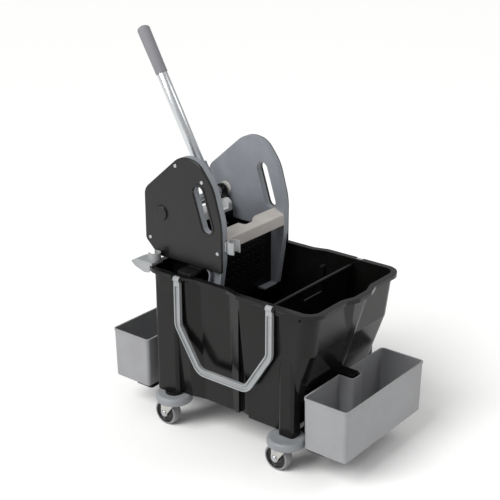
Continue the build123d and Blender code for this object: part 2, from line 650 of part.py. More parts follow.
def near_side_cover():
    """Black cover over a side frame, with a bead round the hand slot and a cap over the shaft."""
    y0, y1 = -COVER_OUT, -FRAME_OUT
    shell = plate_y(cover_face(), y0, y1)
    shell = fillet(shell.faces().sort_by(Axis.Y)[0].edges(), COVER_EDGE_R)
    hollow = plate_y(offset(cover_face(), -COVER_WALL), y0 + COVER_WALL, y1)
    hollow -= plate_y(hand_slot(COVER_WALL), y0, y1)
    for x, z in SCREW_PLACES:
        hollow -= rod_y(x, z, SCREW_DIA + 5, y0, y1)
    cover = shell - hollow
    cover += plate_y(hand_slot(4), y0 - 1.5, y0 + 1)
    cover += fillet(rod_y(SHAFT_X, SHAFT_Z, 35, y0 - 4, y0 + 1).faces().sort_by(Axis.Y)[0].edges(), 1.5)
    cover -= plate_y(hand_slot(0), y0 - 3, y1 + 1)
    for x, z in SCREW_PLACES:
        cover -= rod_y(x, z, SCREW_DIA + 2 * RUN_GAP, y0, y1)
    return cover


def near_cover_screws():
    """Four countersunk-look screws that hold a cover on its frame."""
    screws = []
    for x, z in SCREW_PLACES:
        shank = rod_y(x, z, SCREW_DIA, -COVER_OUT, -INNER_HALF - 3)
        head = rod_y(x, z, SCREW_DIA + 3.5, -COVER_OUT - 1.6, -COVER_OUT)
        screws.append(shank + fillet(head.faces().sort_by(Axis.Y)[0].edges(), 1.2))
    return Part() + screws


def near_shaft_bush():
    """Flanged bush that the lever shaft turns in."""
    y0, y1 = -FRAME_OUT + 2, -INNER_HALF
    flange = rod_y(SHAFT_X, SHAFT_Z, BUSH_FLANGE_DIA, y1, y1 + BUSH_FLANGE_T)
    flange = fillet(flange.faces().sort_by(Axis.Y)[-1].edges(), 1.5)
    bush = rod_y(SHAFT_X, SHAFT_Z, BUSH_DIA, y0, y1) + flange
    return bush - rod_y(SHAFT_X, SHAFT_Z, SHAFT_DIA + 2 * RUN_GAP, y0, y1 + BUSH_FLANGE_T)


def near_rim_hook():
    """Bracket under a side frame that rests on the bucket's rim."""
    seat = span(HOOK_X0, HOOK_X1, -HALF_WAIST - 6, -INNER_HALF, RIM_Z + FIT_GAP, RIM_Z + FIT_GAP + HOOK_T)
    seat = fillet(seat.edges().filter_by(Axis.Z).sort_by(Axis.Y)[:2], 6)
    web = span(HOOK_X0, HOOK_X1, -FRAME_OUT, -INNER_HALF, RIM_Z + FIT_GAP, FRAME_BOTTOM_Z)
    inner_wall = HALF_WAIST - WALL - 3
    rib = span(HOOK_X0 + 4, HOOK_X1 - 4, -inner_wall, -inner_wall + 4, RIM_Z - 12, RIM_Z + 1)
    return seat + web + rib


def crossbar():
    """Folded bar that ties the two side frames at the front, with a shallow scoop on top."""
    t = CROSSBAR_T
    points = [
        (CROSSBAR_BACK_X, CROSSBAR_BOTTOM_Z),
        (CROSSBAR_FRONT_X, CROSSBAR_BOTTOM_Z),
        (CROSSBAR_FRONT_X, CROSSBAR_FOLD_Z),
        (CROSSBAR_BACK_X, CROSSBAR_BACK_Z),
        (CROSSBAR_BACK_X, CROSSBAR_BACK_Z - t - 1),
        (CROSSBAR_FRONT_X - t, CROSSBAR_FOLD_Z - t),
        (CROSSBAR_FRONT_X - t, CROSSBAR_BOTTOM_Z + t),
        (CROSSBAR_BACK_X, CROSSBAR_BOTTOM_Z + t),
    ]
    bar = plate_y(rounded(points, [1.2, 2, 4, 1.2, 1.2, 2, 1.2, 1.2]), -INNER_HALF, INNER_HALF)
    for y in (-60, -20, 20, 60):
        rib = Polyline(
            (CROSSBAR_BACK_X + 2, CROSSBAR_BOTTOM_Z + 1),
            (CROSSBAR_FRONT_X - 1, CROSSBAR_BOTTOM_Z + 1),
            (CROSSBAR_FRONT_X - 1, CROSSBAR_FOLD_Z - 2),
            (CROSSBAR_BACK_X + 2, CROSSBAR_BACK_Z - 4),
            close=True,
        )
        bar += plate_y(make_face(rib), y - 1.5, y + 1.5)
    scoop_z = CROSSBAR_BACK_Z + SCOOP_R - SCOOP_DEPTH
    scoop = Pos(CROSSBAR_BACK_X, 0, scoop_z) * Rot(0, 90, 0) * Cylinder(SCOOP_R, 24)
    return bar - scoop


def tie_rod():
    """Round rod that ties the side frames at the rear."""
    end = FRAME_OUT - 4
    return rod_y(TIE_X, TIE_Z, TIE_DIA, -end, end)


def hole_grid(count_y, count_z, z0, x0, x1):
    """Grid of drain holes along X through an upright wall."""
    holes = []
    for i in range(count_y):
        for j in range(count_z):
            y = (i - (count_y - 1) / 2) * HOLE_PITCH
            holes.append(rod_x(y, z0 + j * HOLE_PITCH, HOLE_DIA, x0, x1))
    return Part() + holes


def fixed_jaw():
    """Perforated trough between the legs, which the mop head is pressed against."""
    floor_z = LEG_BOTTOM_Z + FOOT_T
    y = INNER_HALF
    front = span(JAW_FRONT_X - JAW_WALL, JAW_FRONT_X, -y, y, floor_z, JAW_TOP_Z)
    floor = span(JAW_REAR_X, JAW_FRONT_X, -y, y, floor_z, floor_z + JAW_WALL)
    jaw = front + floor
    for side in (-1, 1):
        y0, y1 = sorted((side * y, side * (y - JAW_WALL)))
        outline = [
            (JAW_REAR_X, floor_z),
            (JAW_FRONT_X, floor_z),
            (JAW_FRONT_X, JAW_TOP_Z),
            (JAW_FRONT_X - 20, JAW_TOP_Z),
            (JAW_FRONT_X - 40, JAW_SIDE_TOP_Z),
            (JAW_REAR_X, JAW_SIDE_TOP_Z),
        ]
        jaw += plate_y(make_face(Polyline(*outline, close=True)), y0, y1)
    jaw -= hole_grid(9, 7, floor_z + 20, JAW_FRONT_X - 10, JAW_FRONT_X + 5)
    for i in range(9):
        y_slot = (i - 4) * HOLE_PITCH
        slot = span(JAW_REAR_X + 14, JAW_FRONT_X - 20, y_slot - 3, y_slot + 3, floor_z - 1, floor_z + 10)
        jaw -= fillet(slot.edges().filter_by(Axis.Z), 2.9)
    return jaw


def arm_points():
    """Outline of a press arm in X and Z, from the shaft down to the press plate."""
    back = PRESS_FRONT_X - PRESS_DEPTH
    return [
        (SHAFT_X - 13, SHAFT_Z - 6),
        (SHAFT_X, SHAFT_Z + 6),
        (SHAFT_X + 14, SHAFT_Z - 2),
        (PRESS_FRONT_X - 2, PRESS_TOP_Z + 14),
        (PRESS_FRONT_X - 2, PRESS_TOP_Z - 12),
        (back, PRESS_TOP_Z - 12),
    ]


def press_plate():
    """Swinging press: a ribbed and perforated plate hung from two arms on the shaft."""
    back = PRESS_FRONT_X - PRESS_DEPTH
    block = span(back, PRESS_FRONT_X, -PRESS_HALF, PRESS_HALF, PRESS_BOTTOM_Z, PRESS_TOP_Z)
    block = fillet(block.edges().filter_by(Axis.Y).sort_by(Axis.X)[-2:], 5)
    press = block
    cells = 6
    pitch = (2 * PRESS_HALF - PRESS_SKIN) / cells
    for i in range(cells):
        y0 = -PRESS_HALF + PRESS_SKIN + i * pitch
        press -= span(back, PRESS_FRONT_X - PRESS_SKIN, y0, y0 + pitch - PRESS_SKIN,
                      PRESS_BOTTOM_Z + PRESS_SKIN, PRESS_TOP_Z - PRESS_SKIN)
    press -= hole_grid(9, 6, PRESS_BOTTOM_Z + 20, PRESS_FRONT_X - 10, PRESS_FRONT_X + 5)
    for side in (-1, 1):
        y0, y1 = sorted((side * ARM_INNER, side * (ARM_INNER + ARM_T)))
        press += plate_y(make_face(Polyline(*arm_points(), close=True)), y0, y1)
        press += rod_y(SHAFT_X, SHAFT_Z, SHAFT_DIA + 14, y0, y1)
    return press - rod_y(SHAFT_X, SHAFT_Z, SHAFT_DIA, -100, 100)


def press_head():
    """Light-grey cap along the top of the press plate, between the arms."""
    back = PRESS_FRONT_X - PRESS_DEPTH
    points = [
        (back, PRESS_TOP_Z),
        (PRESS_FRONT_X + 4, PRESS_TOP_Z),
        (PRESS_FRONT_X + 4, PRESS_TOP_Z + HEAD_HEIGHT - 8),
        (PRESS_FRONT_X - 6, PRESS_TOP_Z + HEAD_HEIGHT),
        (back, PRESS_TOP_Z + HEAD_HEIGHT),
    ]
    head = plate_y(rounded(points, [2, 2, 8, 5, 5]), -ARM_INNER, ARM_INNER)
    half = LEVER_TUBE_DIA / 2 + SOCKET_WALL + 2
    return head - span(back - 5, PRESS_FRONT_X + 10, LEVER_Y - half, LEVER_Y + half, PRESS_TOP_Z + 8, 600)


def stop_pins():
    """Two pins on the side frames that the press arms rest against."""
    (ax, az), (bx, bz) = arm_points()[0], arm_points()[-1]
    run = hypot(bx - ax, bz - az)
    nx, nz = (bz - az) / run, -(bx - ax) / run
    away = STOP_PIN_DIA / 2 + FIT_GAP
    x, z = (ax + bx) / 2 + nx * away, (az + bz) / 2 + nz * away
    near = rod_y(x, z, STOP_PIN_DIA, -INNER_HALF, -ARM_INNER)
    return near + far(near)


def lever_shaft():
    """Round shaft through both side frames."""
    end = FRAME_OUT - 1
    return rod_y(SHAFT_X, SHAFT_Z, SHAFT_DIA, -end, end)


def return_spring():
    """Torsion spring round the shaft at the near side."""
    radius = SHAFT_DIA / 2 + 1.5 + SPRING_WIRE / 2
    pitch = SPRING_WIRE + 0.5
    coil = Helix(pitch, pitch * SPRING_TURNS, radius)
    profile = Plane(coil @ 0, z_dir=coil % 0) * Circle(SPRING_WIRE / 2)
    spring = sweep(profile, coil, is_frenet=True)
    return Pos(SHAFT_X, -ARM_INNER + 26, SHAFT_Z) * Rot(90, 0, 0) * spring


def along_lever(distance):
    """Placement on the lever's line, at a distance from the shaft axis, with Z along the lever."""
    tilt = radians(LEVER_TILT)
    x = SHAFT_X - distance * sin(tilt)
    z = SHAFT_Z + distance * cos(tilt)
    return Pos(x, LEVER_Y, z) * Rot(0, -LEVER_TILT, 0)


def lever_length(start, end, diameter):
    """Cylinder along the lever between two distances from the shaft axis."""
    return along_lever((start + end) / 2) * Cylinder(diameter / 2, end - start)


def lever_socket():
    """Socket on the shaft that holds the lever's tube."""
    outer_dia = LEVER_TUBE_DIA + 2 * SOCKET_WALL
    half = outer_dia / 2
    knuckle = rod_y(SHAFT_X, SHAFT_Z, SHAFT_DIA + 14, LEVER_Y - half, LEVER_Y + half)
    socket = knuckle + lever_length(0, SOCKET_LENGTH, outer_dia)
    socket -= lever_length(LEVER_TUBE_START, SOCKET_LENGTH, LEVER_TUBE_DIA)
    socket -= rod_y(SHAFT_X, SHAFT_Z, SHAFT_DIA, LEVER_Y - 40, LEVER_Y + 40)
    return socket - socket_bolt_shape()


def socket_bolt_shape():
    """Cross bolt through the socket and the tube."""
    half = LEVER_TUBE_DIA / 2 + SOCKET_WALL
    spot = along_lever(SOCKET_LENGTH - 20)
    bolt = spot * Rot(90, 0, 0) * Cylinder(3, 2 * half)
    for y in (-half - 2, half + 2):
        bolt += spot * Pos(0, y, 0) * Rot(90, 0, 0) * Cylinder(5.5, 4)
    return bolt


def lever_tube():
    """Aluminium lever tube."""
    end = LEVER_LENGTH - GRIP_R
    tube = lever_length(LEVER_TUBE_START, end, LEVER_TUBE_DIA)
    tube -= lever_length(LEVER_TUBE_START, end, LEVER_TUBE_DIA - 2 * LEVER_TUBE_WALL)
    return tube - socket_bolt_shape()


def lever_grip():
    """Hand grip with a flat, round-edged end, which widens from the tube."""
    start, end = LEVER_LENGTH - GRIP_LENGTH, LEVER_LENGTH - GRIP_END_R
    middle = (start + end) / 2
    line = Polyline((0, start), (GRIP_R - 1.5, start))
    swell = ThreePointArc((GRIP_R - 1.5, start), (GRIP_R - 1.5 + GRIP_SWELL, middle), (GRIP_R, end))
    corner = RadiusArc((GRIP_R, end), (GRIP_R - GRIP_END_R, LEVER_LENGTH), -GRIP_END_R)
    back = Polyline((GRIP_R - GRIP_END_R, LEVER_LENGTH), (0, LEVER_LENGTH), (0, start))
    half = make_face(line + swell + corner + back)
    body = revolve(Plane.XZ * half, Axis.Z)
    grip = along_lever(0) * body
    return grip - lever_length(start - 1, LEVER_LENGTH - GRIP_R, LEVER_TUBE_DIA)


# ------------------------------------------------------------------ pole clips

def pole_clip(opening_turn, height):
    """C-shaped clip round an upright pole at the origin, opening towards opening_turn degrees."""
    inner, outer = POLE_DIA / 2, POLE_DIA / 2 + CLIP_WALL
    ring = Cylinder(outer, height) - Cylinder(inner, height)
    half = radians(CLIP_OPENING / 2)
    reach = 2 * outer
    points = [(0, 0), (reach * cos(half), -reach * sin(half)), (reach * cos(half), reach * sin(half))]
    wedge = extrude(make_face(Polyline(*points, close=True)), height, both=True)
    ring -= wedge
    middle = (inner + outer) / 2
    for side in (-1, 1):
        ring += Pos(middle * cos(half), side * middle * sin(half), 0) * Cylinder(CLIP_WALL / 2 + 0.6, height)
    ring -= Cylinder(inner, height)
    return Rot(0, 0, opening_turn) * ring


def front_clip_x():
    """Middle of the front clip along X."""
    return CROSSBAR_FRONT_X + 3 + CLIP_WALL + POLE_DIA / 2


def front_pole_clip():
    """Clip on the crossbar's front face, opening forwards."""
    z = (CROSSBAR_BOTTOM_Z + CROSSBAR_FOLD_Z) / 2 - 1
    x = front_clip_x()
    base = span(CROSSBAR_FRONT_X, CROSSBAR_FRONT_X + 5, CLIP_Y - 11, CLIP_Y + 11,
                CROSSBAR_BOTTOM_Z + 1, CROSSBAR_FOLD_Z - 4)
    bore = rod_z(x, CLIP_Y, POLE_DIA, CROSSBAR_BOTTOM_Z - 5, CROSSBAR_FOLD_Z + 5)
    return Pos(x, CLIP_Y, z) * pole_clip(0, CLIP_HEIGHT) + (base - bore)


def rear_bracket():
    """Grey saddle on the rear near corner of the rim, with a nose that points rearwards."""
    points = [
        (REAR_X + 10, RIM_Z - 15),
        (REAR_X + 10, BRACKET_TOP_Z),
        (REAR_X - 38, BRACKET_TOP_Z),
        (REAR_X - 54, BRACKET_TOP_Z - 8),
        (REAR_X - 40, BRACKET_TOP_Z - 18),
        (REAR_X - 14, RIM_Z - 19),
    ]
    face = rounded(points, [2, 3, 6, 3, 6, 3])
    block = plate_y(face, -HALF_WIDE, -INNER_HALF - FRAME_T - 8)
    return block - rim_prism(RIM_OUT, RIM_Z - RIM_DROP - 10, RIM_Z)


def rear_pole_clip():
    """Clip that stands on the rear bracket, opening rearwards."""
    z = BRACKET_TOP_Z + REAR_CLIP_HEIGHT / 2
    return Pos(REAR_CLIP_X, REAR_CLIP_Y, z) * pole_clip(180, REAR_CLIP_HEIGHT)


# ------------------------------------------------------------------ all pieces

def build():
    """Return every piece of the model by node name."""
    box = storage_box()
    bail = near_bail()
    pins = near_bail_pins()
    frame, cover, screws = near_side_frame(), near_side_cover(), near_cover_screws()
    bush, hook = near_shaft_bush(), near_rim_hook()
    pieces = {
        "bucket_body": bucket_body(),
        "divider": divider(),
        "front_box": box,
        "rear_box": mirror(box, about=Plane.YZ),
        "front_box_support": front_support(),
        "rear_box_support": rear_support(),
        "near_bail": bail,
        "far_bail": far(bail),
        "near_bail_pins": pins,
        "far_bail_pins": far(pins),
        "near_side_frame": frame,
        "far_side_frame": far(frame),
        "near_side_cover": cover,
        "far_side_cover": far(cover),
        "near_cover_screws": screws,
        "far_cover_screws": far(screws),
        "near_shaft_bush": bush,
        "far_shaft_bush": far(bush),
        "near_rim_hook": hook,
        "far_rim_hook": far(hook),
        "crossbar": crossbar(),
        "rear_tie_rod": tie_rod(),
        "fixed_jaw": fixed_jaw(),
        "stop_pins": stop_pins(),
        "return_spring": return_spring(),
        "press_plate": press_plate(),
        "press_head": press_head(),
        "lever_shaft": lever_shaft(),
        "lever_socket": lever_socket(),
        "socket_bolt": socket_bolt_shape(),
        "lever_tube": lever_tube(),
        "lever_grip": lever_grip(),
        "front_pole_clip": front_pole_clip(),
        "rear_bracket": rear_bracket(),
        "rear_pole_clip": rear_pole_clip(),
    }
    for name, (x, y) in CASTERS.items():
        pieces[name + "_bumper"] = caster_bumper(x, y)
        pieces[name + "_king_pin"] = king_pin(x, y)
        pieces[name + "_fork"] = caster_fork(x, y)
        pieces[name + "_axle"] = caster_axle(x, y)
        pieces[name + "_hub"] = wheel_hub(x, y)
        pieces[name + "_tyre"] = wheel_tyre(x, y)
    return pieces


def main():
    """Write one STEP file for each piece."""
    os.makedirs("parts", exist_ok=True)
    for name, piece in build().items():
        export_step(place(piece), os.path.join("parts", name + ".step"))


if __name__ == "__main__":
    main()
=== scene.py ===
import json
import logging
from dataclasses import dataclass, field
from enum import Enum
from math import atan2, cos, pi, radians, sin

import bmesh
import bpy
from mathutils import Matrix, Vector


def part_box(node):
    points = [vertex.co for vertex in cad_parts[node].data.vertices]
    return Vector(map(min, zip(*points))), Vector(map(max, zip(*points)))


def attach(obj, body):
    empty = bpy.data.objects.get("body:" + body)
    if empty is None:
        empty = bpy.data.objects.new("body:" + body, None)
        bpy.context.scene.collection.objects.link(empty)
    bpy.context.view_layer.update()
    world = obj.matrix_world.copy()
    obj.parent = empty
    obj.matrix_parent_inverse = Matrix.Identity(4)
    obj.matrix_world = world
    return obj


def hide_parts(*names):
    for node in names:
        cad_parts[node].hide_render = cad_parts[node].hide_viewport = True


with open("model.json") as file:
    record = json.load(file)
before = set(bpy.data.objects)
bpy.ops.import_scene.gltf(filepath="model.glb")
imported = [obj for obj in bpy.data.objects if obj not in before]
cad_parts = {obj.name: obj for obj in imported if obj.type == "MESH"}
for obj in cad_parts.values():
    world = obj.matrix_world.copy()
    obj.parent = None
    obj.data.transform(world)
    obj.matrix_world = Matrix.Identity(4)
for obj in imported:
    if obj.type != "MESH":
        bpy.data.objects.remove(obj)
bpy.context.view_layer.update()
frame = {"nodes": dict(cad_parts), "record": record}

# A divided mop bucket on casters with a lever wringer. Lengths are in metres unless a name says mm.
LOG = logging.getLogger("mop_bucket")
MM = 0.001
MERGE = 1e-6
CORNERS = ("front_near", "front_far", "rear_near", "rear_far")
SIDES = ("near", "far")
Socket = bpy.types.NodeSocket
Profile = list[tuple[float, float]]


# ------------------------------------------------------------------ finishes


def linear(hex_colour: str) -> tuple[float, float, float, float]:
    """Turn an sRGB hex colour to linear light.

    Args:
        hex_colour: six hex digits after a hash.

    Returns:
        Red, green, blue and alpha.
    """
    parts = [int(hex_colour[i:i + 2], 16) / 255 for i in (1, 3, 5)]
    red, green, blue = [p / 12.92 if p <= 0.04045 else ((p + 0.055) / 1.055) ** 2.4 for p in parts]
    return red, green, blue, 1.0


def add(tree: bpy.types.NodeTree, kind: str, feeds: dict | None = None, **settings) -> bpy.types.Node:
    """Add a node with its settings and feed its inputs.

    Args:
        tree: node tree that gets the node.
        kind: node type, without the ShaderNode prefix.
        feeds: input name or number to a value, or to the output socket that feeds it.
        **settings: attributes of the node.

    Returns:
        The new node.
    """
    node = tree.nodes.new("ShaderNode" + kind)
    for name, value in settings.items():
        setattr(node, name, value)
    for key, value in (feeds or {}).items():
        if isinstance(value, Socket):
            tree.links.new(value, node.inputs[key])
        else:
            node.inputs[key].default_value = value
    return node


def remap(tree: bpy.types.NodeTree, source: Socket, low: float, high: float,
          to_low: float = 0.0, to_high: float = 1.0) -> Socket:
    """Map a value's range low to high onto another range, clamped.

    Args:
        tree: node tree.
        source: the value.
        low: value that becomes to_low.
        high: value that becomes to_high.
        to_low: result at low.
        to_high: result at high.

    Returns:
        The mapped value.
    """
    feeds = {"Value": source, "From Min": low, "From Max": high, "To Min": to_low, "To Max": to_high}
    return add(tree, "MapRange", feeds).outputs[0]


def math(tree: bpy.types.NodeTree, operation: str, *values: float | Socket) -> Socket:
    """Join values with one Math node."""
    return add(tree, "Math", dict(enumerate(values)), operation=operation).outputs[0]


class Grain(Enum):
    """What the fine relief of a surface is."""

    LEATHER = "spark-eroded mould texture"
    DRAWN = "lines along the way a tube was drawn"
    SPANGLE = "crystals of a zinc coat"
    PLAIN = "almost smooth"


@dataclass(frozen=True)
class Finish:
    """One real material and how its surface was made, with its marks at real sizes.

    Sizes in millimetres are the real feature's, or as coarse as it needs to be to show.
    """

    name: str
    colour: str
    cloud: str
    worn: str
    roughness: float
    grain: Grain = Grain.LEATHER
    grain_mm: float = 1.1
    depth_mm: float = 0.03
    cloud_mm: float = 70.0
    swing: float = 0.07
    edge_mm: float = 0.8
    wear: float = 0.35
    scuff: float = 0.2
    scuff_mm: float = 55.0
    along: float = 0.0
    metal: bool = False
    ior: float = 1.49
    specular: float = 0.5
    # Share of paler surface facing up: settled dust, and painted light where a top is lit.
    dust_and_lit_top: float = 0.0

    def relief(self, tree: bpy.types.NodeTree, place: Socket) -> Socket:
        """Fine relief of the surface.

        Args:
            tree: node tree.
            place: object coordinates.

        Returns:
            Height from 0 to 1.
        """
        per_metre = 1 / (self.grain_mm * MM)
        if self.grain is Grain.SPANGLE:
            cells = add(tree, "TexVoronoi", {"Vector": place, "Scale": per_metre}, feature="F1")
            return cells.outputs["Distance"]
        if self.grain is Grain.DRAWN:
            turned = add(tree, "Mapping", {"Vector": place, "Rotation": (0.0, self.along, 0.0)}).outputs[0]
            laid = add(tree, "Mapping", {"Vector": turned, "Scale": (1.0, 1.0, 0.012)}).outputs[0]
            return add(tree, "TexNoise", {"Vector": laid, "Scale": per_metre, "Detail": 3.0}).outputs["Fac"]
        if self.grain is Grain.PLAIN:
            return add(tree, "TexNoise", {"Vector": place, "Scale": per_metre, "Detail": 1.0}).outputs["Fac"]
        cells = add(tree, "TexVoronoi", {"Vector": place, "Scale": per_metre, "Smoothness": 0.6},
                    feature="SMOOTH_F1")
        fine = add(tree, "TexNoise", {"Vector": place, "Scale": 2.2 * per_metre, "Detail": 2.0})
        return math(tree, "MULTIPLY_ADD", fine.outputs["Fac"], 0.5, cells.outputs["Distance"])

    def marks(self, tree: bpy.types.NodeTree, place: Socket, clouds: Socket, eased: Socket,
              relief: Socket) -> Socket:
        """Rubbed edges and thin scuffs.

        Args:
            tree: node tree.
            place: object coordinates.
            clouds: slow variation, which says where the surface was handled.
            eased: the normal, rounded over the edges.
            relief: fine relief, which breaks the rubbed edges up.

        Returns:
            Share of worn surface from 0 to 1.
        """
        drift = add(tree, "TexNoise", {"Vector": place, "Scale": 1 / (self.scuff_mm * MM), "Detail": 4.0,
                                       "Distortion": 1.6}).outputs["Fac"]
        off_middle = math(tree, "ABSOLUTE", math(tree, "SUBTRACT", drift, 0.5))
        scuffs = math(tree, "MULTIPLY", remap(tree, off_middle, 0.0, 0.004, 1.0, 0.0),
                      remap(tree, clouds, 0.5, 0.62, 0.0, self.scuff))
        facing = add(tree, "NewGeometry").outputs["Normal"]
        agree = add(tree, "VectorMath", {0: eased, 1: facing}, operation="DOT_PRODUCT").outputs["Value"]
        edge = math(tree, "MULTIPLY", remap(tree, agree, 0.985, 0.8, 0.0, self.wear),
                    remap(tree, relief, 0.2, 0.7, 0.5, 1.0))
        return math(tree, "MAXIMUM", scuffs, edge)

    def material(self) -> bpy.types.Material:
        """Build the finish as a node material on Object coordinates.

        Returns:
            The new material.
        """
        made = bpy.data.materials.new(self.name)
        made.use_nodes = True
        tree = made.node_tree
        tree.nodes.clear()
        place = add(tree, "TexCoord").outputs["Object"]
        clouds = add(tree, "TexNoise", {"Vector": place, "Scale": 1 / (self.cloud_mm * MM),
                                        "Detail": 4.0}).outputs["Fac"]
        relief = self.relief(tree, place)
        eased = add(tree, "Bevel", {"Radius": self.edge_mm * MM}, samples=4).outputs[0]
        marks = self.marks(tree, place, clouds, eased, relief)
        tone = add(tree, "Mix", {0: remap(tree, clouds, 0.35, 0.65), 6: linear(self.colour),
                                 7: linear(self.cloud)}, data_type="RGBA").outputs[2]
        # Up-facing surfaces are mixed towards the worn colour in patches: settled dust, and painted light on
        # a lit top.
        if self.dust_and_lit_top:
            up = add(tree, "SeparateXYZ", {0: add(tree, "NewGeometry").outputs["Normal"]}).outputs["Z"]
            dust_and_lit_top_mask = math(tree, "MULTIPLY", remap(tree, up, 0.5, 1.0, 0.0, self.dust_and_lit_top), clouds)
            tone = add(tree, "Mix", {0: dust_and_lit_top_mask, 6: tone, 7: linear(self.worn)}, data_type="RGBA").outputs[2]
        paint = add(tree, "Mix", {0: marks, 6: tone, 7: linear(self.worn)}, data_type="RGBA").outputs[2]
        dull = remap(tree, clouds, 0.3, 0.7, self.roughness - self.swing, self.roughness + self.swing)
        rough = math(tree, "MULTIPLY_ADD", marks, 0.25, dull)
        bump = add(tree, "Bump", {"Height": relief, "Distance": self.depth_mm * MM, "Strength": 0.8,
                                  "Normal": eased}).outputs[0]
        feeds = {"Base Color": paint, "Roughness": rough, "Normal": bump, "Metallic": float(self.metal)}
        if not self.metal:
            feeds["IOR"] = self.ior
            feeds["Specular IOR Level"] = self.specular
        shader = add(tree, "BsdfPrincipled", feeds)
        add(tree, "OutputMaterial", {"Surface": shader.outputs[0]})
        made.diffuse_color = linear(self.colour)
        return made


def lever_line() -> tuple[Vector, Vector]:
    """Line of the lever.

    Returns:
        Its point on the shaft's axis, and its direction up to the grip.
    """
    low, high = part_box("lever_shaft")
    foot = (low + high) / 2
    low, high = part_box("lever_grip")
    grip = (low + high) / 2
    foot.y = grip.y
    return foot, (grip - foot).normalized()


